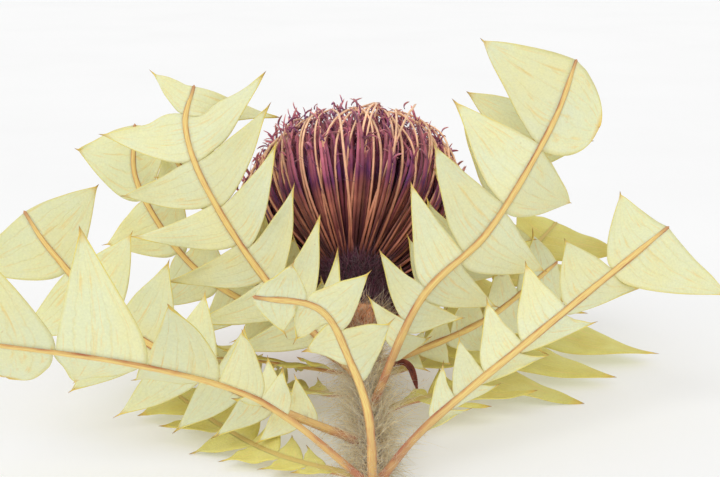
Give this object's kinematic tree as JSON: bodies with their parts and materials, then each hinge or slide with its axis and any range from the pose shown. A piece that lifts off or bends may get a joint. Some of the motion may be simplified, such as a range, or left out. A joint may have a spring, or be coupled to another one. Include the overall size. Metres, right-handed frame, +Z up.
{
  "type": "dried banksia flower",
  "caption": "Dried banksia lying on its side: dome of wiry plum florets on a woody stem, ringed by deeply lobed pale leaves.",
  "frame": {"origin": "centre of the bounding box's underside, on the surface that the flower lies on", "axes": "+Z up, +Y along the stem from its cut end towards the head, +X across, the way the leaves spread widest"},
  "size_m": [0.3042, 0.2532, 0.1508],
  "materials": {
    "bark": "matt, hairy",
    "leaf": "dry, matt",
    "wool": "woolly",
    "floret": "dry, wiry"
  },
  "bodies": {
    "root": {"stem": "bark", "bract_collar": "wool", "flower_head": "floret", "leaf_01": "leaf", "leaf_02": "leaf", "leaf_03": "leaf", "leaf_04": "leaf", "leaf_05": "leaf", "leaf_06": "leaf", "leaf_07": "leaf", "leaf_08": "leaf", "leaf_09": "leaf", "leaf_10": "leaf", "leaf_11": "leaf", "leaf_12": "leaf", "leaf_13": "leaf", "leaf_14": "leaf", "leaf_15": "leaf"}
  },
  "joints": []
}
